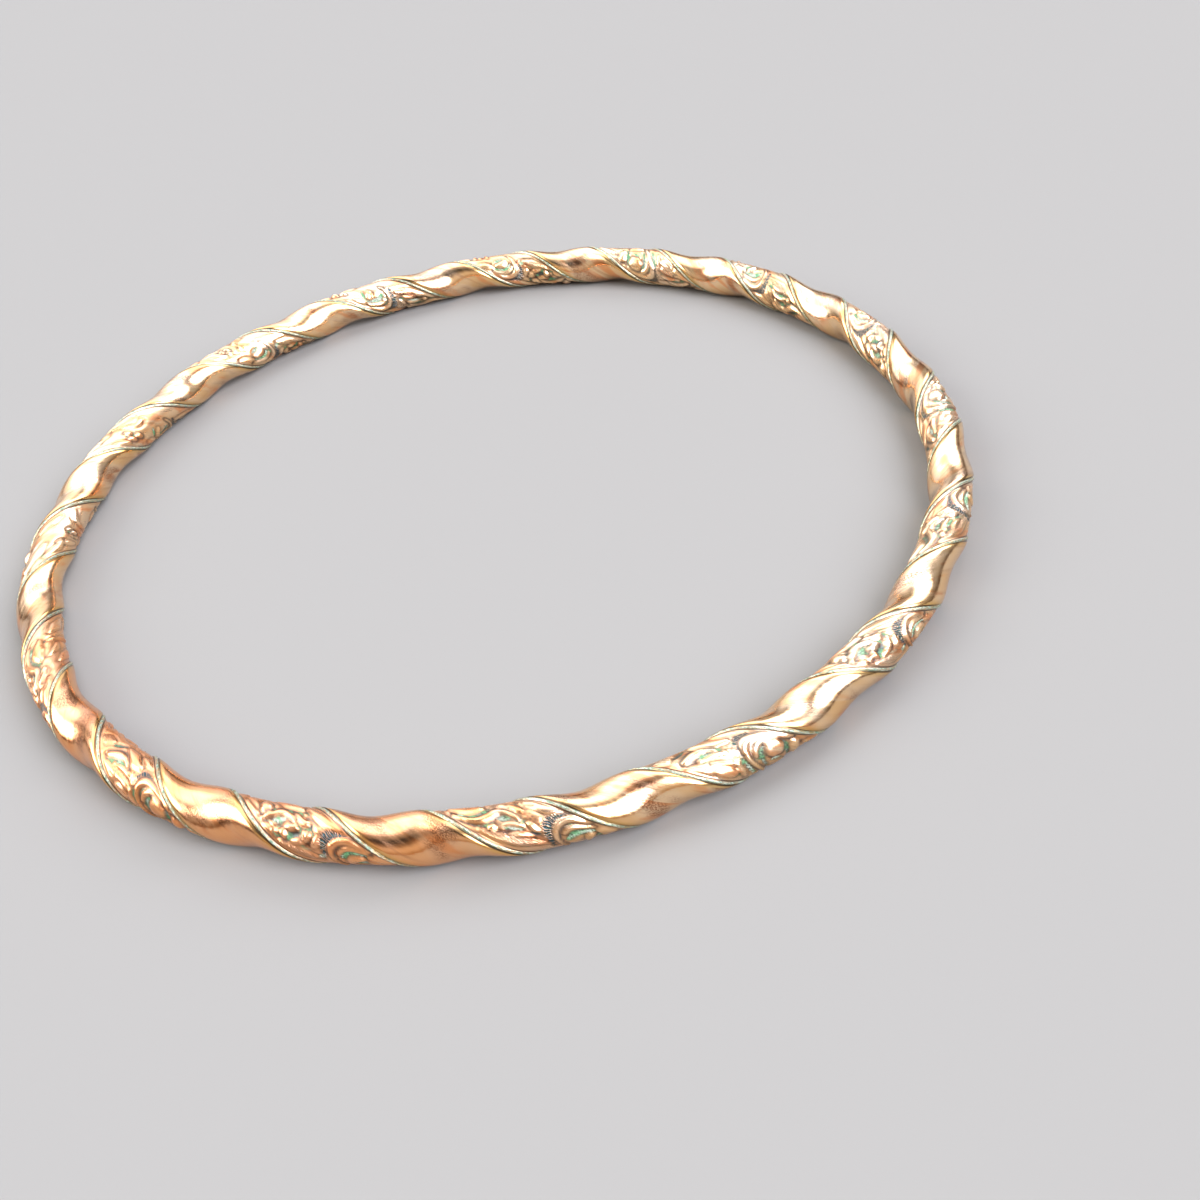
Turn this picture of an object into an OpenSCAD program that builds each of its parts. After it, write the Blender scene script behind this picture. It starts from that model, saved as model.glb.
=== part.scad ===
// Twisted wire bangle: one strip of rounded pattern wire, twisted along its
// length, bent round and soldered end to end into a closed ring that lies flat.
// The rounded face carries a raised floral pattern between two thin rails, and
// the back is plain and a little flatter. All sizes are in millimetres.

/* [Ring] */
// Inner diameter, between the strip's innermost edges
inner_d = 65.8; // [56:0.2:76]
// How far the ring is out of round: the change of its radius
oval = 0.15; // [0:0.05:1]
// Direction in which the ring is widest, in degrees
oval_at = 50; // [0:1:180]

/* [Twist] */
// Full turns of the strip round the ring, right-handed
turns = 16; // [8:1:20]
// Direction that the patterned face looks in at angle 0, in degrees above outward
twist_start = 338.5; // [0:0.5:360]
// Unevenness of the hand twist that comes once round the ring, in degrees
sway_once = 29.5; // [0:0.5:40]
// Where that unevenness is greatest, in degrees
sway_once_at = 218; // [0:1:360]
// Unevenness of the hand twist that comes twice round the ring, in degrees
sway_twice = 22.5; // [0:0.5:26]
// Where that unevenness is greatest, in degrees
sway_twice_at = 31.5; // [0:0.5:180]

/* [Strip] */
// Width of the strip
strip_w = 3.3; // [2.6:0.05:4]
// Height of the patterned face's crest above the strip's widest line
crest_h = 1.64; // [1.2:0.02:1.9]
// Depth of the plain back behind the widest line
back_h = 1.3; // [0.9:0.02:1.5]
// Squareness of the back's corners, where 2 is an ellipse
back_square = 2.1; // [2:0.1:4]

/* [Rails] */
// Direction of each rail from the crest, in degrees
rail_at = 86; // [83:1:89]
// Width of a rail's thread
rail_w = 0.2; // [0.1:0.01:0.24]
// Width of the groove on each side of a rail
groove_w = 0.11; // [0.1:0.01:0.2]
// Depth of these grooves
groove_d = 0.1; // [0.04:0.01:0.16]

/* [Pattern] */
// Height of the raised pattern above its ground
relief_h = 0.28; // [0.1:0.01:0.36]
// Number of sprays along the strip
sprays = 17; // [12:1:22]
// Place of the soldered joint, where the strip's ends meet, in degrees
joint_at = 110; // [0:1:360]

/* [Hidden] */

stations = 270;
ring_r = (inner_d + strip_w) / 2;
half_w = strip_w / 2;

// Angle round the strip that one millimetre spans at a rail
degrees_per_mm = 180 / (PI * crest_h);
groove_step = (rail_w + groove_w) / 2 * degrees_per_mm;

// Angles where the patterned field ends and where the plain back starts
field_edge = rail_at - groove_step - groove_w * degrees_per_mm;
back_start = rail_at + groove_step;

// Points across one half of the patterned field, and of the plain back, as shares
field_shares = [0.2, 0.4, 0.6, 0.8, 1];
back_shares = [0.17, 0.42, 0.72];

// One half of the section's outline, as angles from the crest
half_angles = concat(
    [for (share = field_shares) share * field_edge],
    [rail_at - groove_step, rail_at, back_start],
    [for (share = back_shares) back_start + share * (180 - back_start)]
);
half_count = len(half_angles);
section_angles = concat(
    [0],
    half_angles,
    [180],
    [for (i = [half_count - 1:-1:0]) -half_angles[i]]
);
section_count = len(section_angles);

// The pattern's raised forms, on three sprays that follow one another.
// Columns: spray, place along it as a share of its length, place across as a
// share of the face from the crest to a rail, half length and half width as
// shares of the same, turn in degrees, and height as a share of the relief.
RAISED = [
    // Spray of the berry
    [0, 0.11, -0.38, 0.26, 0.26, 0, 1.0],
    [0, 0.25, -0.42, 0.45, 0.30, 45, 0.8],
    [0, 0.36, -0.05, 0.48, 0.24, 40, 0.8],
    [0, 0.40, 0.66, 0.50, 0.24, 10, 0.8],
    [0, 0.58, 0.70, 0.55, 0.22, 35, 0.9],
    [0, 0.66, 0.10, 0.26, 0.50, 0, 0.8],
    [0, 0.84, -0.30, 0.34, 0.34, 0, 0.8],
    // Spray of the veined leaf
    [1, 0.15, -0.30, 0.28, 0.45, -30, 0.8],
    [1, 0.30, -0.60, 0.60, 0.24, 20, 0.8],
    [1, 0.33, 0.35, 0.50, 0.22, -35, 0.8],
    [1, 0.48, 0.76, 0.50, 0.20, 10, 0.8],
    [1, 0.56, 0.45, 0.24, 0.55, 0, 1.0],
    [1, 0.70, 0.78, 0.50, 0.20, 10, 0.9],
    [1, 0.74, 0.20, 0.26, 0.30, 0, 0.8],
    [1, 0.90, -0.50, 0.40, 0.26, 30, 0.8],
    // Spray of the great scroll
    [2, 0.14, -0.35, 0.26, 0.42, -30, 0.8],
    [2, 0.26, -0.70, 0.45, 0.24, 15, 0.8],
    [2, 0.34, 0.05, 0.42, 0.26, 40, 0.8],
    [2, 0.47, 0.10, 0.22, 0.60, 0, 1.0],
    [2, 0.60, 0.78, 0.55, 0.20, 12, 0.9],
    [2, 0.64, 0.30, 0.40, 0.40, 0, 1.0],
    [2, 0.86, 0.30, 0.30, 0.40, 0, 0.8],
    [2, 0.90, -0.50, 0.36, 0.30, 0, 0.8],
];
spray_kinds = spray(RAISED[len(RAISED) - 1]) + 1;

// The columns of a row
function spray(form) = form[0];
function place_along(form) = form[1];
function place_across(form) = form[2];
function half_long(form) = form[3];
function half_wide(form) = form[4];
function turn(form) = form[5];
function height(form) = form[6];

// Length of the face from the crest to a rail, and of one spray
face_half = rail_at * PI / 180 * (half_w + crest_h) / 2;
spray_long = 2 * PI * ring_r / sprays;

function signed_power(value, power) = sign(value) * pow(abs(value), power);

// Point of the smooth outline at an angle from the crest: [across, outward]
function outline(angle) =
    abs(angle) <= 90
    ? [half_w * sin(angle), crest_h * cos(angle)]
    : [
        half_w * signed_power(sin(angle), 2 / back_square),
        back_h * signed_power(cos(angle), 2 / back_square),
    ];

// Direction straight out of the patterned face at an angle from the crest
function face_normal(angle) =
    let (n = [crest_h * sin(angle), half_w * cos(angle)])
    n / norm(n);

// A rounded form, 1 at its middle and 0 at its edge
function dome(distance) = distance < 1 ? pow(1 - distance * distance, 0.75) : 0;

// Height of one raised form at a place on the face, [along, across] from the form
function form_height(form, place) =
    let (
        along = place.x * cos(turn(form)) + place.y * sin(turn(form)),
        across = place.y * cos(turn(form)) - place.x * sin(turn(form)),
        distance = norm([along / half_long(form), across / half_wide(form)])
    )
    height(form) * dome(distance / face_half);

// Height of the whole pattern, as a share of the relief, at a number of sprays
// from the joint and a distance across from the crest
function pattern(spray_place, across) =
    max([
        for (form = RAISED)
            let (
                steps = spray_place - spray(form) - place_along(form),
                near = steps - spray_kinds * round(steps / spray_kinds)
            )
            form_height(form, [near * spray_long, across - place_across(form) * face_half])
    ]);

// Depth of the patterned face, its rails and their grooves below the smooth outline
function depth(angle, spray_place) =
    let (from_rail = abs(abs(angle) - rail_at))
    abs(angle) <= field_edge
    ? relief_h * (1 - pattern(spray_place, angle / rail_at * face_half))
    : from_rail < groove_step / 2 ? 0 : groove_d;

// Point of the finished section: [across, outward]
function section_point(angle, spray_place) =
    let (p = outline(angle))
    abs(angle) > back_start ? p : p - depth(angle, spray_place) * face_normal(angle);

// Direction that the patterned face looks in, at an angle round the ring
function facing(round_angle) =
    twist_start - turns * round_angle
    + sway_once * cos(round_angle - sway_once_at)
    + sway_twice * cos(2 * (round_angle - sway_twice_at));

// Place of a section point in space
function placed(point, round_angle) =
    let (
        look = facing(round_angle),
        radius = ring_r + oval * cos(2 * (round_angle - oval_at)),
        out = radius + point.y * cos(look) - point.x * sin(look),
        up = point.y * sin(look) + point.x * cos(look)
    )
    [out * cos(round_angle), out * sin(round_angle), up];

band_points = [
    for (s = [0:stations - 1])
        let (round_angle = joint_at + 360 * s / stations)
        for (angle = section_angles)
            placed(section_point(angle, sprays * s / stations), round_angle)
];

// Two triangles for each step along the strip and round its section
band_faces = [
    for (s = [0:stations - 1], i = [0:section_count - 1])
        let (
            this_row = s * section_count,
            next_row = (s + 1) % stations * section_count,
            j = (i + 1) % section_count
        )
        each [
            [this_row + i, next_row + i, next_row + j],
            [this_row + i, next_row + j, this_row + j],
        ]
];

// The middle of the ring and its lowest point, which rests at height 0
function middle(axis) =
    let (places = [for (p = band_points) p[axis]])
    (min(places) + max(places)) / 2;
lowest = min([for (p = band_points) p.z]);

module twisted_band() {
    color("#c98252")
        translate([-middle(0), -middle(1), -lowest])
            polyhedron(points = band_points, faces = band_faces, convexity = 8);
}

twisted_band();
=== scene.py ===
import math

import bpy
import numpy as np
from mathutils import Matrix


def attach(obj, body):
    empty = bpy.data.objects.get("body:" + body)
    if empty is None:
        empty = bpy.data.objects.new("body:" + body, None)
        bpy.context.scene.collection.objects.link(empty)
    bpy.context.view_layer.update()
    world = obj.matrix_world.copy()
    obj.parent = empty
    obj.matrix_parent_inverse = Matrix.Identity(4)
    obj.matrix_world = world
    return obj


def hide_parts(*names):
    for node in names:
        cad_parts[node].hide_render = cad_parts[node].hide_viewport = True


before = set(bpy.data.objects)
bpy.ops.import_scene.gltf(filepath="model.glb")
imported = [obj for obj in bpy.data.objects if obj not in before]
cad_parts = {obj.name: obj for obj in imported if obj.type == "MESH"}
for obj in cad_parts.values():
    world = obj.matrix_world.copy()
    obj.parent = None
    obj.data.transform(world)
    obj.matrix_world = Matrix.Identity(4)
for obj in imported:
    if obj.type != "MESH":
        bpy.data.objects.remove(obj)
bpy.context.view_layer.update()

# The strip. One length of pattern wire, drawn and rolled from red brass. Its rounded face is
# pressed with sprays of scrolls and leaves between two fine rails, and its back is plain.
# It starts as a flat grid: x runs along the strip, and y goes once round its section.
mm = 0.001
ring_radius = 34.55 * mm
half_width = 1.65 * mm
crest_height = 1.64 * mm
back_height = 1.3 * mm
back_squareness = 2.1

rail_angle = 86.0
rail_width = 0.20 * mm
groove_width = 0.11 * mm
groove_depth = 0.1 * mm
relief_height = 0.28 * mm

steps_along = 1660
field_steps = 36
back_steps = 12

strip_length = 2 * math.pi * ring_radius
degrees_per_metre = 180 / (math.pi * crest_height)
groove_step = (rail_width + groove_width) / 2 * degrees_per_metre
field_edge = rail_angle - groove_step - groove_width * degrees_per_metre
back_start = rail_angle + groove_step + groove_width * degrees_per_metre

# Angles of the section's points from the crest of the patterned face, from one middle of the
# back round to the other. Each rail's thread has a point at its middle and one at each side.
thread_side = rail_width / 3 * degrees_per_metre
rail_angles = [
    rail_angle - groove_step,
    rail_angle - thread_side,
    rail_angle,
    rail_angle + thread_side,
    rail_angle + groove_step,
]
half_angles = np.concatenate([
    np.linspace(0, field_edge, field_steps // 2 + 1)[1:],
    rail_angles,
    np.linspace(back_start, 180, back_steps // 2 + 1),
])
round_angles = np.concatenate([-half_angles[::-1], [0], half_angles])
steps_round = len(round_angles) - 1

bpy.ops.object.select_all(action="DESELECT")
bpy.ops.mesh.primitive_grid_add(x_subdivisions=steps_along, y_subdivisions=steps_round, size=1)
bangle = bpy.context.object
bangle.name = "twisted_wire_bangle"
strip = bangle.data
grid = np.zeros(len(strip.vertices) * 3)
strip.vertices.foreach_get("co", grid)
grid = grid.reshape(-1, 3)
share_along = grid[:, 0] + 0.5
angle = round_angles[np.rint((grid[:, 1] + 0.5) * steps_round).astype(int)]

# The strip's own map, with x as a share of its length and y as a share of a turn round it
corner_points = np.zeros(len(strip.loops), int)
strip.loops.foreach_get("vertex_index", corner_points)
strip_map = np.stack([share_along[corner_points], angle[corner_points] / 360 + 0.5], 1)
strip.uv_layers[0].name = "strip"
strip.uv_layers[0].data.foreach_set("uv", strip_map.astype(np.float32).ravel())

# The pressed pattern. The roller leaves 17 sprays that follow one another in three kinds. Each
# form is a line of points pressed into the face, as wide as a leaf or as fine as a stem. A form
# with a level above the ground is raised to it, and any other is sunk to it.
sprays = 17
joint_angle = 110.0

# Levels are shares of the relief: 0 is the deepest recess and 1 the strip's smooth outline
ground_level = 0.6
joint_level = 0.6
rail_side_level = 0.5

# In millimetres along the strip from the joint, and across the face from its crest
joint_reach = 0.35
rail_side_start = 1.98
rail_side_width = 0.16

# How full the forms are: powers of a round profile, where less is fuller with steeper sides
raised_fullness = 0.5
sunk_fullness = 0.35
tarnish_fullness = 0.5

# Columns: points along and across the face in millimetres from the spray's start, widths at
# the first, the middle and the last point in millimetres, level, verdigris and oxide left there
BERRY_SPRAY = [
    # Ground leaves
    ([(0.2, -2.0), (1.5, -2.0), (2.6, -1.85)], (0.3, 0.5, 0.3), 0.80, 0.0, 0.0),
    ([(1.0, 0.3), (2.5, 0.75), (4.0, 1.25)], (0.4, 1.1, 0.5), 0.80, 0.0, 0.0),
    ([(3.6, 0.25), (4.2, 0.4), (4.9, 0.65)], (0.3, 0.7, 0.4), 0.86, 0.0, 0.0),
    ([(4.3, 1.55), (5.6, 1.7), (7.2, 2.15)], (0.3, 0.9, 0.2), 0.84, 0.0, 0.0),
    ([(3.3, -1.95), (4.3, -1.6), (5.7, -1.0)], (0.3, 0.75, 0.2), 0.80, 0.0, 0.1),
    ([(0.2, 1.0), (0.9, 1.5), (2.6, 1.9)], (0.3, 0.7, 0.4), 0.82, 0.0, 0.0),
    ([(8.5, 1.5), (9.0, 1.75), (9.7, 1.95)], (0.3, 0.7, 0.3), 0.84, 0.0, 0.0),
    ([(9.5, -1.75), (10.6, -1.3), (12.0, -1.15)], (0.3, 0.9, 0.2), 0.82, 0.0, 0.0),
    ([(10.8, 1.4), (11.8, 1.7), (12.8, 1.75)], (0.3, 0.8, 0.4), 0.82, 0.0, 0.0),
    ([(11.2, 0.6), (12.2, 0.0), (13.0, -0.7)], (0.2, 0.6, 0.2), 0.90, 0.0, 0.0),
    # The berry, and the two stems that curl under it
    ([(1.68, -1.08), (1.82, -0.92)], (0.95, 0.95, 0.95), 1.20, 0.0, 0.0),
    ([(1.8, -1.85), (2.4, -0.95), (2.85, -0.3), (3.35, 0.05), (3.9, 0.12), (4.25, -0.2)],
     (0.2, 0.42, 0.28), 1.0, 0.0, 0.0),
    ([(2.95, -1.65), (3.55, -0.75), (4.15, -0.2)], (0.2, 0.36, 0.3), 0.92, 0.0, 0.0),
    ([(3.4, -1.35), (3.5, -1.2)], (0.5, 0.5, 0.5), 1.05, 0.0, 0.0),
    ([(3.95, -1.35), (4.35, -0.95), (4.8, -0.55)], (0.15, 0.28, 0.15), 0.98, 0.0, 0.0),
    ([(4.8, -0.45), (4.95, 0.0), (5.1, 0.35)], (0.2, 0.36, 0.2), 0.96, 0.0, 0.0),
    ([(5.25, -0.5), (5.45, -0.1), (5.55, 0.35)], (0.15, 0.34, 0.2), 0.90, 0.0, 0.0),
    ([(4.4, 0.98), (4.46, 1.0)], (0.26, 0.26, 0.26), 0.95, 0.0, 0.0),
    # The great scroll, its inner stem and tongue
    ([(7.1, -0.8), (6.65, -0.6), (6.32, -0.1), (6.34, 0.5), (6.7, 1.2), (7.4, 1.8), (8.5, 2.15)],
     (0.22, 0.38, 0.46), 1.05, 0.0, 0.0),
    ([(6.75, 0.2), (7.05, 1.0), (7.6, 1.5), (8.5, 1.85)], (0.16, 0.30, 0.2), 0.95, 0.0, 0.0),
    ([(7.35, 0.0), (7.65, 0.65), (8.2, 1.15)], (0.3, 0.5, 0.3), 0.94, 0.0, 0.0),
    # The small flower and the stem that leads to it
    ([(8.3, -1.8), (9.0, -1.1), (9.4, -0.3), (9.1, 0.4)], (0.2, 0.4, 0.26), 0.98, 0.0, 0.0),
    ([(9.85, 0.75), (10.1, 0.5)], (0.5, 0.5, 0.5), 0.90, 0.0, 0.0),
    ([(10.7, 0.75), (10.5, 0.5)], (0.5, 0.5, 0.5), 0.90, 0.0, 0.0),
    ([(10.3, 1.0), (10.25, 0.1)], (0.5, 0.3, 0.5), 0.90, 0.0, 0.0),
    ([(10.26, 0.5), (10.3, 0.54)], (0.46, 0.46, 0.46), 1.10, 0.0, 0.0),
    # Hollows
    ([(2.55, -1.3), (2.95, -0.8), (3.3, -0.42)], (0.12, 0.46, 0.16), 0.06, 0.9, 0.2),
    ([(3.65, -1.3), (4.0, -0.85), (4.4, -0.5)], (0.14, 0.38, 0.12), 0.02, 0.1, 1.0),
    ([(4.5, -1.15), (5.2, -0.8)], (0.14, 0.2, 0.1), 0.25, 0.5, 0.4),
    ([(4.95, 0.3), (5.2, 0.9)], (0.2, 0.34, 0.14), 0.10, 0.1, 0.9),
    ([(4.7, 0.98), (5.1, 1.12), (5.6, 1.15)], (0.12, 0.18, 0.1), 0.15, 0.2, 0.7),
    ([(6.95, 0.15), (7.2, 0.75), (7.7, 1.22), (8.4, 1.5)], (0.26, 0.24, 0.14), 0.02, 1.0, 0.2),
    ([(7.8, 0.0), (8.1, 0.4), (8.45, 0.8)], (0.2, 0.36, 0.16), 0.08, 0.9, 0.2),
    ([(5.7, -0.9), (5.95, -0.55)], (0.3, 0.36, 0.2), 0.15, 0.9, 0.1),
]
LEAF_SPRAY = [
    # Ground leaves
    ([(0.1, -1.7), (0.6, -1.85), (1.1, -1.98)], (0.2, 0.5, 0.2), 0.82, 0.0, 0.0),
    ([(0.3, -1.3), (1.4, -0.9), (2.4, 0.0)], (0.4, 0.9, 0.3), 0.82, 0.0, 0.0),
    ([(2.2, -1.95), (3.6, -1.65), (4.9, -1.15), (5.9, -0.7)], (0.3, 0.75, 0.2), 0.80, 0.0, 0.1),
    ([(3.4, 0.7), (4.0, 0.85), (4.7, 0.95)], (0.4, 1.0, 0.4), 0.84, 0.0, 0.0),
    ([(4.6, 1.6), (5.8, 1.8), (7.1, 2.15)], (0.3, 0.9, 0.2), 0.86, 0.0, 0.0),
    ([(8.6, 1.5), (9.1, 1.75), (9.7, 1.85)], (0.3, 0.7, 0.3), 0.84, 0.0, 0.0),
    ([(9.0, -1.85), (10.3, -1.5), (11.8, -1.45)], (0.3, 0.8, 0.2), 0.82, 0.0, 0.0),
    ([(11.7, 1.75), (12.4, 1.9), (13.3, 1.9)], (0.3, 0.7, 0.3), 0.82, 0.0, 0.0),
    ([(11.8, -0.6), (12.4, -0.2), (13.0, 0.3)], (0.3, 0.8, 0.4), 0.84, 0.0, 0.0),
    ([(0.2, 1.3), (1.4, 1.6), (2.7, 1.6)], (0.4, 0.9, 0.3), 0.82, 0.0, 0.0),
    ([(0.3, 0.1), (1.1, 0.5), (2.1, 0.5)], (0.2, 0.5, 0.2), 0.90, 0.0, 0.0),
    # The long stem, and the veined leaf's petals and drops
    ([(0.75, -1.98), (1.55, -1.75), (2.25, -1.35), (2.85, -0.65), (3.2, 0.0), (3.85, 0.35), (4.5, 0.2)],
     (0.26, 0.44, 0.28), 1.05, 0.0, 0.0),
    ([(3.35, -1.1), (4.0, -0.45), (4.7, -0.05)], (0.14, 0.3, 0.2), 0.90, 0.0, 0.0),
    ([(3.95, -1.2), (4.4, -0.85), (5.1, -0.55)], (0.2, 0.34, 0.14), 0.95, 0.0, 0.0),
    ([(2.85, -1.45), (3.15, -1.1)], (0.26, 0.36, 0.2), 0.95, 0.0, 0.0),
    ([(5.1, 0.2), (5.55, -0.15)], (0.36, 0.4, 0.26), 0.96, 0.0, 0.0),
    # The great scroll, its inner stem and tongue
    ([(7.0, -0.75), (6.6, -0.5), (6.35, 0.05), (6.4, 0.7), (6.7, 1.3), (7.2, 1.8), (8.2, 2.18)],
     (0.22, 0.36, 0.5), 1.05, 0.0, 0.0),
    ([(6.8, 0.5), (7.15, 1.1), (7.6, 1.45), (8.5, 1.82)], (0.16, 0.28, 0.18), 0.94, 0.0, 0.0),
    ([(8.1, 0.2), (8.25, 0.8), (8.4, 1.3)], (0.3, 0.46, 0.36), 0.96, 0.0, 0.0),
    # The three berries and the stem that leads to them
    ([(8.9, -1.0), (9.5, -0.3), (10.3, 0.0), (11.1, -0.4), (11.2, -0.9)], (0.2, 0.4, 0.26), 0.98, 0.0, 0.0),
    ([(10.4, 1.0), (10.46, 1.04)], (0.6, 0.6, 0.6), 1.10, 0.0, 0.0),
    ([(11.05, 0.7), (11.1, 0.75)], (0.6, 0.6, 0.6), 1.10, 0.0, 0.0),
    ([(11.15, 1.38), (11.2, 1.4)], (0.6, 0.6, 0.6), 1.10, 0.0, 0.0),
    # Hollows
    ([(0.95, -1.62), (1.3, -1.5)], (0.2, 0.34, 0.2), 0.12, 1.0, 0.1),
    ([(1.55, -1.5), (2.15, -0.95), (2.65, -0.2), (2.9, 0.4)], (0.14, 0.34, 0.14), 0.12, 0.4, 0.3),
    ([(3.4, -0.5), (3.7, -0.2), (4.0, -0.02)], (0.2, 0.36, 0.14), 0.02, 0.7, 0.4),
    ([(3.5, -0.95), (4.1, -0.62), (4.75, -0.3)], (0.08, 0.24, 0.1), 0.02, 1.0, 0.1),
    ([(5.0, -0.4), (5.3, -0.3), (5.6, -0.12)], (0.14, 0.3, 0.14), 0.08, 0.0, 1.0),
    ([(5.5, 0.2), (4.95, 0.85), (4.5, 1.6)], (0.1, 0.1, 0.1), 0.30, 0.0, 0.8),
    ([(5.75, 0.3), (5.15, 1.0), (4.72, 1.7)], (0.1, 0.1, 0.1), 0.30, 0.0, 0.8),
    ([(4.5, 0.45), (3.8, 0.85)], (0.12, 0.12, 0.08), 0.30, 0.0, 0.7),
    ([(3.55, 1.05), (4.1, 1.25)], (0.1, 0.14, 0.1), 0.30, 0.0, 0.7),
    ([(4.95, 1.58), (5.5, 1.75)], (0.12, 0.2, 0.1), 0.15, 0.3, 0.3),
    ([(7.0, 0.0), (7.4, 0.7), (7.9, 1.15), (8.6, 1.5)], (0.3, 0.44, 0.16), 0.02, 1.0, 0.2),
    ([(8.7, 0.3), (8.8, 1.1)], (0.2, 0.34, 0.2), 0.08, 0.9, 0.2),
]
SCROLL_SPRAY = [
    # Ground leaves
    ([(0.2, -2.05), (0.7, -1.5), (1.2, -1.0)], (0.3, 0.7, 0.3), 0.80, 0.0, 0.0),
    ([(1.7, -2.0), (3.2, -1.6), (4.8, -0.55)], (0.3, 0.9, 0.3), 0.84, 0.0, 0.0),
    ([(2.6, 0.35), (3.8, 0.75), (4.7, 1.1)], (0.3, 1.0, 0.4), 0.80, 0.0, 0.0),
    ([(4.0, 1.45), (4.8, 1.8), (5.5, 2.05)], (0.2, 0.6, 0.2), 0.84, 0.0, 0.0),
    ([(3.4, -1.85), (4.0, -1.6), (4.6, -1.25)], (0.3, 0.8, 0.3), 0.94, 0.0, 0.0),
    ([(5.0, -1.8), (4.85, -1.3), (4.7, -0.7)], (0.2, 0.46, 0.2), 0.86, 0.0, 0.0),
    ([(10.2, -1.75), (11.3, -1.6), (12.4, -1.35)], (0.3, 0.8, 0.3), 0.82, 0.0, 0.0),
    ([(9.3, 1.55), (10.2, 1.8), (11.2, 1.9)], (0.3, 0.8, 0.2), 0.82, 0.0, 0.0),
    ([(12.0, 1.65), (12.7, 1.45), (13.3, 1.1)], (0.3, 0.7, 0.3), 0.84, 0.0, 0.0),
    ([(0.1, 0.1), (0.9, 0.5), (1.8, 1.0)], (0.3, 0.9, 0.3), 0.82, 0.0, 0.0),
    ([(0.4, 1.8), (1.5, 1.85), (2.7, 1.7)], (0.3, 0.7, 0.2), 0.82, 0.0, 0.0),
    # The stem that curls round the slit
    ([(1.75, -1.6), (2.15, -1.05), (2.55, -0.55), (3.05, -0.08), (3.8, 0.05)],
     (0.24, 0.42, 0.26), 1.0, 0.0, 0.0),
    ([(2.6, -1.2), (3.5, -0.4), (4.3, -0.05)], (0.14, 0.32, 0.26), 0.92, 0.0, 0.0),
    # The great scroll with its broad inner lobe
    ([(6.5, -1.5), (6.0, -0.9), (5.5, -0.45), (5.3, 0.1), (5.4, 0.7), (5.75, 1.25), (6.4, 1.7), (8.3, 2.2)],
     (0.3, 0.44, 0.5), 1.05, 0.0, 0.0),
    ([(5.85, 0.0), (6.0, 0.8), (6.5, 1.35), (7.5, 1.75)], (0.2, 0.36, 0.26), 0.95, 0.0, 0.0),
    ([(6.85, 0.55), (7.15, 1.0), (7.5, 1.4)], (0.7, 1.1, 0.6), 1.05, 0.0, 0.0),
    ([(8.4, 0.6), (8.5, 1.2), (8.6, 1.7)], (0.3, 0.7, 0.5), 0.98, 0.0, 0.0),
    ([(6.8, -1.25), (7.5, -0.75), (8.0, -0.15)], (0.2, 0.46, 0.2), 0.92, 0.0, 0.0),
    # The small flower and the stem that leads to it
    ([(8.9, -1.9), (9.6, -1.2), (10.0, -0.5), (9.8, 0.3)], (0.2, 0.42, 0.26), 0.98, 0.0, 0.0),
    ([(10.85, 0.85), (11.1, 0.6)], (0.5, 0.5, 0.5), 0.90, 0.0, 0.0),
    ([(11.55, 0.85), (11.4, 0.6)], (0.5, 0.5, 0.5), 0.90, 0.0, 0.0),
    ([(11.25, 1.05), (11.2, 0.2)], (0.5, 0.3, 0.5), 0.90, 0.0, 0.0),
    ([(11.2, 0.6), (11.24, 0.62)], (0.46, 0.46, 0.46), 1.10, 0.0, 0.0),
    # Hollows
    ([(1.45, -1.0), (1.75, -0.6), (2.2, 0.1)], (0.16, 0.34, 0.14), 0.05, 0.2, 1.0),
    ([(2.8, -0.82), (3.1, -0.5), (3.5, -0.22)], (0.26, 0.26, 0.06), 0.02, 0.9, 0.3),
    ([(2.7, -1.75), (3.1, -1.5), (3.1, -1.1)], (0.12, 0.12, 0.12), 0.35, 0.0, 0.8),
    ([(3.35, -0.9), (3.8, -0.68)], (0.14, 0.16, 0.1), 0.30, 0.0, 0.7),
    ([(5.0, -0.15), (4.55, 0.5)], (0.1, 0.1, 0.1), 0.30, 0.0, 0.8),
    ([(5.22, -0.05), (4.77, 0.6)], (0.1, 0.1, 0.1), 0.30, 0.0, 0.8),
    ([(5.65, -1.5), (5.25, -0.8), (5.05, -0.3)], (0.34, 0.36, 0.14), 0.04, 1.0, 0.3),
    ([(6.55, -0.75), (6.25, -0.15), (6.2, 0.4), (6.45, 0.9)], (0.26, 0.4, 0.2), 0.02, 0.7, 0.6),
    ([(6.85, -0.15), (7.5, 0.12)], (0.2, 0.34, 0.2), 0.08, 1.0, 0.2),
    ([(8.15, 0.2), (7.95, 0.9), (7.9, 1.5)], (0.24, 0.42, 0.26), 0.02, 0.6, 0.8),
]
SPRAY_KINDS = [BERRY_SPRAY, LEAF_SPRAY, SCROLL_SPRAY]

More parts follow.
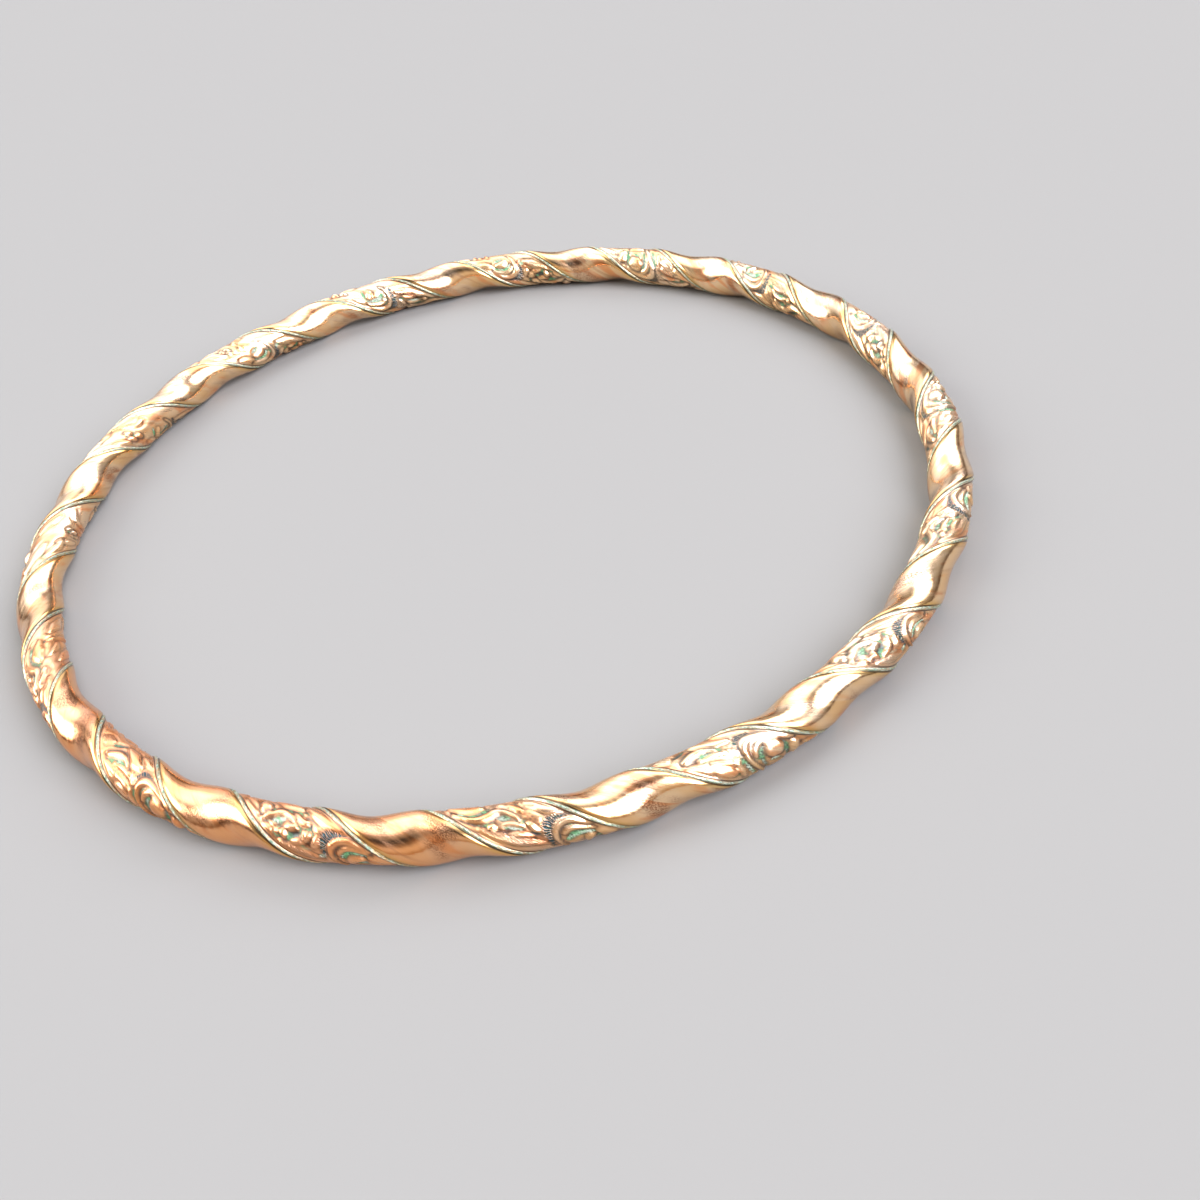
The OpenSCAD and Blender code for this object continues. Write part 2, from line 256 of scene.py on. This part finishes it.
# The leaves with fine chased strokes that fan out beside the scrolls. Columns: points, widths
# at the first, the middle and the last point, the strokes' spacing in millimetres, how far
# they lean, and the oxide between them
CHASED = [
    [
        ([(5.95, -0.5), (5.82, 0.25), (6.1, 1.0), (6.55, 1.5), (7.3, 2.0)],
         (0.36, 0.74, 0.12), 0.2, 0.4, 1.0),
        ([(3.3, -1.95), (4.3, -1.6), (5.7, -1.0)], (0.2, 0.6, 0.1), 0.22, 0.9, 0.4),
    ],
    [
        ([(6.2, -0.9), (5.95, 0.0), (6.0, 0.75), (6.35, 1.35), (7.1, 1.95)],
         (0.4, 0.72, 0.14), 0.2, 0.4, 1.0),
        ([(2.3, -1.8), (3.6, -1.5), (4.8, -1.05), (5.7, -0.65)], (0.3, 0.8, 0.14), 0.2, 1.2, 0.6),
    ],
    [
        ([(4.95, 0.6), (5.1, 1.1), (5.5, 1.6), (6.2, 2.0)], (0.2, 0.4, 0.12), 0.2, 0.4, 1.0),
        ([(0.2, -2.05), (0.7, -1.5), (1.2, -1.0)], (0.2, 0.6, 0.2), 0.22, 0.9, 0.5),
    ],
]

# Leaves with more oxide than this are pressed down as well, most of the way to a level. The
# strokes fade out over a share of a leaf's half width, and are counted out to twice that width.
pressed_from = 0.7
pressed_level = 0.34
pressed_share = 0.85
stroke_fade = 0.4
stroke_reach = 2

# The fine line that sets each raised form off: its place outside the form's edge and its reach
# in millimetres, and its depth and its lowest level. Beside the highest forms it holds oxide colour
# that also paints shade into the line.
moat_offset = 0.08
moat_reach = 0.15
moat_depth = 0.48
moat_floor = 0.10
outlined_from = 0.99
outline_dark = 0.95

# A line's corners are cut three times over, each time at a quarter of the way
corner_rounds = 3
corner_cut = 0.25

# Farther than any place on the strip lies from a line
far_away = 99.0


def smooth_line(points):
    """The points with their corners rounded."""
    line = np.array(points, float)
    for _ in range(corner_rounds):
        leaving = (1 - corner_cut) * line[:-1] + corner_cut * line[1:]
        reaching = corner_cut * line[:-1] + (1 - corner_cut) * line[1:]
        line = np.vstack([line[:1], np.stack([leaving, reaching], 1).reshape(-1, 2), line[-1:]])
    return line


def measure_line(points, widths, along, across):
    """How far each place is from a line, in shares of its half width and beyond its edge, how
    far along it lies, and how far to the line's left."""
    line = smooth_line(points)
    steps = np.diff(line, axis=0)
    lengths = np.hypot(steps[:, 0], steps[:, 1])
    total = lengths.sum()
    nearest = np.full(along.shape, far_away)
    beyond = np.full(along.shape, far_away)
    run = np.zeros(along.shape)
    left = np.zeros(along.shape)
    walked = 0.0
    for start, step, length in zip(line[:-1], steps, lengths):
        reach = ((along - start[0]) * step[0] + (across - start[1]) * step[1]) / length**2
        reach = np.clip(reach, 0, 1)
        distance = np.hypot(along - start[0] - reach * step[0], across - start[1] - reach * step[1])
        here = walked + reach * length
        half = np.interp(here / total, [0, 0.5, 1], widths) / 2
        share = distance / half
        closer = share < nearest
        nearest = np.where(closer, share, nearest)
        beyond = np.where(closer, distance - half, beyond)
        run = np.where(closer, here, run)
        side = np.sign(step[0] * (across - start[1]) - step[1] * (along - start[0]))
        left = np.where(closer, side * distance, left)
        walked += length
    return nearest, beyond, run, left


place = share_along * sprays
spray_length = strip_length / sprays / mm
across = np.radians(angle) * (half_width + crest_height) / 2 / mm
angle_slack = 0.01
in_field = np.abs(angle) < field_edge + angle_slack
level = np.full(angle.shape, ground_level)
verdigris = np.zeros(angle.shape)
oxide_and_outline_shade = np.zeros(angle.shape)
hatching = np.zeros(angle.shape)
strokes = np.zeros(angle.shape)

# Forms reach a little past the ends of their spray
spray_overlap = 0.1
for number in range(sprays):
    kind = number % len(SPRAY_KINDS)
    in_reach = (place > number - spray_overlap) & (place < number + 1 + spray_overlap)
    near = np.nonzero(in_field & in_reach)[0]
    along_here = (place[near] - number) * spray_length
    across_here = across[near]
    height = level[near]
    green = verdigris[near]
    dark = oxide_and_outline_shade[near]
    for points, widths, form_level, form_green, form_dark in SPRAY_KINDS[kind]:
        share, beyond, _, _ = measure_line(points, widths, along_here, across_here)
        inside = np.clip(1 - share**2, 0, 1)
        raised = form_level > ground_level
        profile = inside ** (raised_fullness if raised else sunk_fullness)
        height = height + (form_level - height) * profile
        if raised:
            moat = np.clip(1 - np.abs(beyond - moat_offset) / moat_reach, 0, 1)
            height = np.maximum(height - moat_depth * moat, np.minimum(height, moat_floor))
        keep = 1 - profile if raised else 1
        green = np.maximum(green * keep, form_green * inside**tarnish_fullness)
        dark = np.maximum(dark * keep, form_dark * inside**tarnish_fullness)
        # Beside the highest forms the line is darkened with oxide colour: painted shade in the crease as
        # well as oxide
        if form_level > outlined_from:
            dark = np.maximum(dark, outline_dark * moat)
    for points, widths, spacing, lean, form_dark in CHASED[kind]:
        share, _, run, left = measure_line(points, widths, along_here, across_here)
        if form_dark > pressed_from:
            pressed = pressed_share * np.clip(1 - share**2, 0, 1) ** raised_fullness
            height = height + (pressed_level - height) * pressed
        stroked = np.clip((1 - share) / stroke_fade, 0, 1)
        hatching[near] = np.maximum(hatching[near], stroked * form_dark)
        strokes[near] = np.where(share < stroke_reach, (run + lean * left) / spacing, strokes[near])
    level[near] = height
    verdigris[near] = green
    oxide_and_outline_shade[near] = dark

# The joint's solder fills the pattern over a short length
from_joint = np.minimum(share_along, 1 - share_along) * strip_length / mm
filled = np.clip(1 - from_joint / joint_reach, 0, 1)
level = level + (joint_level - level) * filled
near_rail = np.clip((np.abs(across) - rail_side_start) / rail_side_width, 0, 1)
level = level + (rail_side_level - level) * near_rail

# Wear has rounded every edge a little: each level takes a share of its two neighbours' levels,
# first along the strip, whose ends meet at the joint, and then across it
own_weight = 5
rows = level.reshape(steps_round + 1, steps_along + 1)[:, :-1]
rows = (np.roll(rows, 1, 1) + own_weight * rows + np.roll(rows, -1, 1)) / (own_weight + 2)
rows = np.hstack([rows, rows[:, :1]])
rows[1:-1] = (rows[:-2] + own_weight * rows[1:-1] + rows[2:]) / (own_weight + 2)
level = rows.ravel()
level = np.where(in_field, level, 1)

# The section: half an oval in front, a flatter back, and a fine groove on each side of a rail
turn = np.radians(angle)
in_front = np.abs(angle) <= 90


def signed_power(value, power):
    """A power that keeps the value's sign."""
    return np.sign(value) * np.abs(value) ** power


sideways = np.where(
    in_front, half_width * np.sin(turn), half_width * signed_power(np.sin(turn), 2 / back_squareness)
)
outward = np.where(
    in_front, crest_height * np.cos(turn), back_height * signed_power(np.cos(turn), 2 / back_squareness)
)
normal = np.stack([crest_height * np.sin(turn), half_width * np.cos(turn)], 1)
normal /= np.linalg.norm(normal, axis=1)[:, None]
from_rail = np.abs(np.abs(angle) - rail_angle) / degrees_per_metre
in_groove = np.clip(1 - np.abs(from_rail - (rail_width + groove_width) / 2) / groove_width, 0, 1)
in_groove = np.where(np.abs(angle) < back_start, in_groove, 0)
depth = np.where(in_field, relief_height * (1 - level), groove_depth * in_groove)
sideways -= depth * normal[:, 0]
outward -= depth * normal[:, 1]

# The twist and the bend. The strip was turned 16 times by hand, which left the turns a little
# uneven, bent round a mandrel and soldered end to end, slightly out of round.
twist_turns = 16
twist_start = 338.5
sway_once = 29.5
sway_once_at = 218.0
sway_twice = 22.5
sway_twice_at = 31.5
out_of_round = 0.15 * mm
widest_at = 50.0

round_ring = joint_angle + 360 * share_along
facing = np.radians(
    twist_start
    - twist_turns * round_ring
    + sway_once * np.cos(np.radians(round_ring - sway_once_at))
    + sway_twice * np.cos(np.radians(2 * (round_ring - sway_twice_at)))
)
radius = ring_radius + out_of_round * np.cos(np.radians(2 * (round_ring - widest_at)))
out = radius + outward * np.cos(facing) - sideways * np.sin(facing)
up = outward * np.sin(facing) + sideways * np.cos(facing)
round_ring = np.radians(round_ring)
points = np.stack([out * np.cos(round_ring), out * np.sin(round_ring), up], 1)
middle = (points.min(0) + points.max(0)) / 2
points -= [middle[0], middle[1], points[:, 2].min()]
strip.vertices.foreach_set("co", points.ravel())

for name, values in {
    "verdigris": verdigris,
    "oxide_and_outline_shade": oxide_and_outline_shade,
    "level": level,
    "hatching": hatching,
    "strokes": strokes,
}.items():
    layer = strip.attributes.new(name, "FLOAT", "POINT")
    layer.data.foreach_set("value", values.astype(np.float32))
strip.update()

# The grid's edges are joined along the back's middle and at the strip's two ends
join_gap = 0.001 * mm
bpy.ops.object.mode_set(mode="EDIT")
bpy.ops.mesh.select_all(action="SELECT")
bpy.ops.mesh.remove_doubles(threshold=join_gap)
bpy.ops.mesh.normals_make_consistent(inside=False)
bpy.ops.object.mode_set(mode="OBJECT")
bpy.ops.object.shade_smooth()

# The finish. Red brass, polished bright on the crests and the plain back. Grey oxide and green
# verdigris stay in the recesses and along the rails, where the polishing wheel does not reach,
# and a thin yellow film stays beside the rails. The colour also paints shade: darker in the
# deepest recesses, beside the highest forms and lower in the relief.
copper = (0.93, 0.58, 0.28, 1)
pale_copper = (0.96, 0.70, 0.45, 1)
red_copper = (0.91, 0.34, 0.12, 1)
brown_tarnish_and_shade = (0.34, 0.13, 0.055, 1)
oxide_and_shade_grey = (0.045, 0.075, 0.078, 1)
oxide_and_shade_brown = (0.10, 0.04, 0.02, 1)
yellow_film = (0.74, 0.44, 0.11, 1)
verdigris_pale = (0.40, 0.46, 0.33, 1)
verdigris_green = (0.12, 0.32, 0.12, 1)
verdigris_deep = (0.04, 0.09, 0.06, 1)
thread_grey = (0.13, 0.20, 0.12, 1)
thread_pale = (0.38, 0.44, 0.33, 1)

metal = bpy.data.materials.new("copper_alloy")
metal.use_nodes = True
nodes = metal.node_tree.nodes
links = metal.node_tree.links
shader = nodes["Principled BSDF"]


def give(socket, value):
    """Puts a plain value on a socket, or joins another socket to it."""
    if isinstance(value, bpy.types.NodeSocket):
        links.new(value, socket)
    else:
        socket.default_value = value


def maths(operation, first, second=0.0):
    """One step of arithmetic on two values."""
    node = nodes.new("ShaderNodeMath")
    node.operation = operation
    give(node.inputs[0], first)
    give(node.inputs[1], second)
    return node.outputs[0]


def spread(value, low, high, to_low=0.0, to_high=1.0):
    """The value, run smoothly from the range low to high into the range to_low to to_high."""
    node = nodes.new("ShaderNodeMapRange")
    node.interpolation_type = "SMOOTHSTEP"
    give(node.inputs["Value"], value)
    for name, number in {"From Min": low, "From Max": high, "To Min": to_low, "To Max": to_high}.items():
        node.inputs[name].default_value = number
    return node.outputs["Result"]


def mix(share, first, second):
    """The first colour, with a share of the second over it."""
    node = nodes.new("ShaderNodeMix")
    node.data_type = "RGBA"
    give(node.inputs[0], share)
    give(node.inputs[6], first)
    give(node.inputs[7], second)
    return node.outputs[2]


def speckle(scale, detail, stretch=(1, 1, 1)):
    """Noise on the strip's own map, with its scale in spots to the millimetre."""
    round_length = 2 * math.pi * half_width
    sized = nodes.new("ShaderNodeMapping")
    sized.inputs["Scale"].default_value = [
        strip_length / mm * stretch[0], round_length / mm * stretch[1], 1
    ]
    links.new(strip_uv.outputs["UV"], sized.inputs["Vector"])
    node = nodes.new("ShaderNodeTexNoise")
    node.inputs["Scale"].default_value = scale
    node.inputs["Detail"].default_value = detail
    links.new(sized.outputs["Vector"], node.inputs["Vector"])
    return node.outputs["Fac"]


def painted(name):
    """A value that the pattern left on each point of the strip."""
    node = nodes.new("ShaderNodeAttribute")
    node.attribute_name = name
    return node.outputs["Fac"]


strip_uv = nodes.new("ShaderNodeUVMap")
strip_uv.uv_map = "strip"
parts = nodes.new("ShaderNodeSeparateXYZ")
links.new(strip_uv.outputs["UV"], parts.inputs["Vector"])

# How far a place is from the nearer rail, in millimetres: less than 0 on the patterned side
from_crest = maths("ABSOLUTE", maths("MULTIPLY", maths("SUBTRACT", parts.outputs["Y"], 0.5), 360))
rail_gap = maths("DIVIDE", maths("SUBTRACT", from_crest, rail_angle), degrees_per_metre * mm)
rail_distance = maths("ABSOLUTE", rail_gap)

# What lies along a rail, with its edges as ranges in millimetres: the rail's own thread, the
# dark line in the groove on each side of it, the yellow film on the plain side, and the open
# plain back
thread_edge = (0.11, 0.17)
dark_line_place = 0.2
dark_line_edge = (0.03, 0.08)
film_start = (0.0, 0.1)
film_end = (0.15, 0.9)
film_strength = 0.75
plain_start = (0.3, 0.6)
from_dark_line = maths("ABSOLUTE", maths("SUBTRACT", rail_distance, dark_line_place))
thread = spread(rail_distance, *thread_edge, 1.0, 0.0)
dark_line = spread(from_dark_line, *dark_line_edge, 1.0, 0.0)
film_fade = spread(rail_gap, *film_end, film_strength, 0.0)
beside_rail = maths("MULTIPLY", spread(rail_gap, *film_start), film_fade)
plain_side = spread(rail_gap, *plain_start)

# The strip is redder over one stretch, in shares of its length from the joint
redder_middle = 0.33
redder_core = 0.05
redder_end = 0.15
redder_strength = 0.65
from_redder = maths("ABSOLUTE", maths("SUBTRACT", parts.outputs["X"], redder_middle))
redder_stretch = spread(from_redder, redder_core, redder_end, redder_strength, 0.0)

# Unevenness that the masks below share, from broad areas to a fine grain
coarse = speckle(0.3, 2)
mottle = speckle(1.4, 4)
blush = speckle(0.8, 4, (0.5, 1, 1))
fine = speckle(7, 5)
grain = speckle(10, 6)
streaks = speckle(2.4, 3, (0.12, 1, 1))

# The deepest recesses, and a brown film that thins out up to the crests, by level: it is tarnish
# and painted shade, darker the lower the relief lies
recess_levels = (0.13, 0.42)
brown_levels = (0.25, 0.75)
brown_strength = 0.5
recess = spread(painted("level"), *recess_levels, 1.0, 0.0)
brown_film_and_relief_shade = spread(painted("level"), *brown_levels, brown_strength, 0.0)

# Verdigris lies where the pattern holds it, in part of the recesses and along the threads
green_mask = maths("MULTIPLY", painted("verdigris"), spread(fine, 0.25, 0.6, 0.55, 1.0))
recess_green = maths("MULTIPLY", recess, spread(mottle, 0.48, 0.62, 0.0, 0.7))
thread_green = maths("MULTIPLY", thread, spread(speckle(9, 4, (0.3, 1, 1)), 0.36, 0.58, 0.45, 1.0))
crust_green = maths("MAXIMUM", green_mask, recess_green)
green_all = maths("MAXIMUM", crust_green, thread_green)

# Oxide fills the chased strokes. The deepest recesses get oxide colour that is also painted
# shade, and the rails' grooves get a dark line of the same colour. The strokes waver a little,
# as the hand that cut them did.
unsteady = spread(speckle(2.6, 3), 0.3, 0.7, 0.0, 0.9)
stroke_wave = maths("SINE", maths("MULTIPLY", maths("ADD", painted("strokes"), unsteady), 2 * math.pi))
stroke_dark = maths("MULTIPLY", painted("hatching"), spread(stroke_wave, 0.0, 0.9, 1.0, 0.5))
# The deepest recesses darken with oxide colour, which is also painted shade
oxide_and_all_shade = maths("MAXIMUM", painted("oxide_and_outline_shade"), maths("MULTIPLY", recess, 0.95))
oxide_and_all_shade = maths("MAXIMUM", oxide_and_all_shade, maths("MULTIPLY", dark_line, 0.9))
oxide_and_all_shade = maths("MAXIMUM", oxide_and_all_shade, stroke_dark)

# Brown tarnish runs in streaks along the strip, and gathers in small pits on the plain back. The
# brown film adds painted shade, darker lower in the relief.
pitted = maths("MULTIPLY", spread(coarse, 0.52, 0.66), plain_side)
brown = maths("MULTIPLY", spread(streaks, 0.52, 0.72), 0.35)
brown = maths("MAXIMUM", brown, maths("MULTIPLY", pitted, spread(grain, 0.42, 0.58, 0.2, 0.9)))
brown = maths("MAXIMUM", brown, brown_film_and_relief_shade)

# The colours, from the bare metal up to what covers it
colour = mix(spread(coarse, 0.35, 0.65), copper, pale_copper)
colour = mix(maths("MULTIPLY", spread(blush, 0.50, 0.66), 0.75), colour, red_copper)
colour = mix(redder_stretch, colour, red_copper)
colour = mix(beside_rail, colour, yellow_film)
# Brown of the tarnish, with painted shade in the lower relief
colour = mix(brown, colour, brown_tarnish_and_shade)
greyness = maths("MAXIMUM", painted("oxide_and_outline_shade"), painted("hatching"))
greyness = maths("MAXIMUM", greyness, spread(mottle, 0.4, 0.6, 0.0, 0.6))
# Oxide colour, which also paints shade into the deepest recesses and beside the highest forms
colour = mix(oxide_and_all_shade, colour, mix(greyness, oxide_and_shade_brown, oxide_and_shade_grey))
crust = mix(spread(mottle, 0.4, 0.6), verdigris_pale, verdigris_green)
crust = mix(spread(fine, 0.3, 0.5), verdigris_deep, crust)
thread_crust = mix(spread(fine, 0.40, 0.6), thread_grey, thread_pale)
colour = mix(crust_green, colour, crust)
colour = mix(thread_green, colour, thread_crust)
links.new(colour, shader.inputs["Base Color"])

# A thick crust of verdigris hides the metal
covered = maths("MAXIMUM", crust_green, maths("MULTIPLY", thread_green, 0.6))
links.new(spread(covered, 0.3, 1.0, 1.0, 0.1), shader.inputs["Metallic"])

# Roughness of the polish and of its dull streaks, and what oxide, the pattern and crust add
polished = 0.14
dulled = 0.27
oxide_adds = 0.12
pattern_adds = 0.12
crust_adds = 0.3
worn = maths("ADD", spread(streaks, 0.35, 0.75, polished, dulled), maths("MULTIPLY", oxide_and_all_shade, oxide_adds))
worn = maths("ADD", worn, spread(rail_gap, -0.5, 0.1, pattern_adds, 0.0))
links.new(maths("ADD", worn, maths("MULTIPLY", green_all, crust_adds)), shader.inputs["Roughness"])

# Relief too fine for the mesh, in millimetres
stroke_relief = 0.018
streak_relief = 0.008
crust_relief = 0.04
pit_relief = 0.008
grain_relief = 0.003
relief = maths("MULTIPLY", maths("MULTIPLY", painted("hatching"), stroke_wave), stroke_relief)
relief = maths("ADD", relief, maths("MULTIPLY", streaks, streak_relief))
relief = maths("ADD", relief, maths("MULTIPLY", maths("MULTIPLY", fine, green_all), crust_relief))
relief = maths("ADD", relief, maths("MULTIPLY", maths("MULTIPLY", grain, pitted), pit_relief))
relief = maths("ADD", relief, maths("MULTIPLY", grain, grain_relief))
bump = nodes.new("ShaderNodeBump")
bump.inputs["Strength"].default_value = 1.0
bump.inputs["Distance"].default_value = mm
links.new(relief, bump.inputs["Height"])
links.new(bump.outputs["Normal"], shader.inputs["Normal"])

strip.materials.clear()
strip.materials.append(metal)
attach(bangle, "root")
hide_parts("twisted_band")

# The floor. A plain pale sheet of matt card that the bangle lies on, far larger than the view,
# laid flat at the height that the strip rests on.
floor_size = 3.0
card_colour = (0.196, 0.186, 0.159, 1)
card_roughness = 0.9
card_gloss = 0.0
bpy.ops.object.select_all(action="DESELECT")
bpy.ops.mesh.primitive_plane_add(size=floor_size)
floor = bpy.context.object
floor.name = "floor"
card = bpy.data.materials.new("pale_card")
card.use_nodes = True
card_shader = card.node_tree.nodes["Principled BSDF"]
card_shader.inputs["Base Color"].default_value = card_colour
card_shader.inputs["Roughness"].default_value = card_roughness
card_shader.inputs["Specular IOR Level"].default_value = card_gloss
floor.data.materials.append(card)

# The light. A pale room, lit softly by broad windows and a skylight that are part of its world.
# The walls are brown and dim near the floor, and pale from a third of the way up.
wall_foot = (0.09, 0.055, 0.03, 1)
wall_foot_height = 0.03
wall_pale = (0.40, 0.40, 0.40, 1)
wall_pale_height = 0.35

room = bpy.data.worlds.new("room")
room.use_nodes = True
room_nodes = room.node_tree.nodes
room_links = room.node_tree.links
direction = room_nodes.new("ShaderNodeTexCoord")
height_parts = room_nodes.new("ShaderNodeSeparateXYZ")
walls = room_nodes.new("ShaderNodeValToRGB")
walls.color_ramp.interpolation = "EASE"
walls.color_ramp.elements[0].position = wall_foot_height
walls.color_ramp.elements[0].color = wall_foot
walls.color_ramp.elements[1].position = wall_pale_height
walls.color_ramp.elements[1].color = wall_pale
room_links.new(direction.outputs["Generated"], height_parts.inputs["Vector"])
room_links.new(height_parts.outputs["Z"], walls.inputs["Fac"])
light = walls.outputs["Color"]

# Columns: azimuth and elevation, angles from the middle where the light is full and where it
# ends, all in degrees, strength and tint. A strength below 0 is a dark place in the room.
ROOM_LIGHTS = [
    # The large window to the right of the viewer, and a small one beyond it
    (-48, 42, 13, 33, 13.0, (0.93, 0.98, 1.22)),
    (42, 38, 9, 26, 6.0, (0.94, 0.98, 1.2)),
    # The skylight, and the pale window under it on the far wall
    (104, 58, 10, 38, 2.7, (0.92, 0.98, 1.2)),
    (106, 22, 10, 30, 1.1, (0.95, 0.98, 1.14)),
    # The window to the left
    (172, 34, 9, 28, 10.0, (0.96, 0.98, 1.08)),
    # The warm wall low behind the viewer
    (-100, 2, 20, 60, 0.35, (1.0, 0.74, 0.5)),
    # Dark places above the viewer and on the far wall
    (-108, 54, 6, 26, -0.38, (1, 1, 1)),
    (84, 31, 6, 10, -0.37, (1, 1, 1)),
]
for azimuth, elevation, full, end, strength, tint in ROOM_LIGHTS:
    azimuth, elevation = math.radians(azimuth), math.radians(elevation)
    towards = room_nodes.new("ShaderNodeVectorMath")
    towards.operation = "DOT_PRODUCT"
    towards.inputs[1].default_value = (
        math.cos(elevation) * math.cos(azimuth),
        math.cos(elevation) * math.sin(azimuth),
        math.sin(elevation),
    )
    room_links.new(direction.outputs["Generated"], towards.inputs[0])
    glow = room_nodes.new("ShaderNodeMapRange")
    glow.interpolation_type = "SMOOTHSTEP"
    glow.inputs["From Min"].default_value = math.cos(math.radians(end))
    glow.inputs["From Max"].default_value = math.cos(math.radians(full))
    glow.inputs["To Max"].default_value = strength
    room_links.new(towards.outputs["Value"], glow.inputs["Value"])
    tinted = room_nodes.new("ShaderNodeVectorMath")
    tinted.operation = "MULTIPLY_ADD"
    tinted.inputs[1].default_value = tint
    room_links.new(glow.outputs["Result"], tinted.inputs[0])
    room_links.new(light, tinted.inputs[2])
    light = tinted.outputs["Vector"]

# Seen straight on, past the floor's edge, the room is plain and as pale as the floor
backdrop_colour = (0.69, 0.69, 0.70, 1)
seen = room_nodes.new("ShaderNodeLightPath")
backdrop = room_nodes.new("ShaderNodeMix")
backdrop.data_type = "RGBA"
backdrop.inputs[7].default_value = backdrop_colour
room_links.new(seen.outputs["Is Camera Ray"], backdrop.inputs[0])
room_links.new(light, backdrop.inputs[6])
room_links.new(backdrop.outputs[2], room_nodes["Background"].inputs["Color"])
bpy.context.scene.world = room
bpy.context.scene.view_settings.view_transform = "Standard"
bpy.context.scene.view_settings.look = "None"

# The camera, where the photograph was taken from: close, above the near side, and tipped a
# little. Its place and its turn were fitted to the whole ring's outline.
camera_place = (0.0, -88.95 * mm, 64.04 * mm)
camera_turn = (49.06, 7.46, -10.81)
lens_view = bpy.data.cameras.new("camera")
lens_view.lens = 42
lens_view.sensor_width = 36
lens_view.clip_start = 5 * mm
camera = bpy.data.objects.new("camera", lens_view)
camera.location = camera_place
camera.rotation_euler = [math.radians(degrees) for degrees in camera_turn]
bpy.context.scene.collection.objects.link(camera)
bpy.context.scene.camera = camera
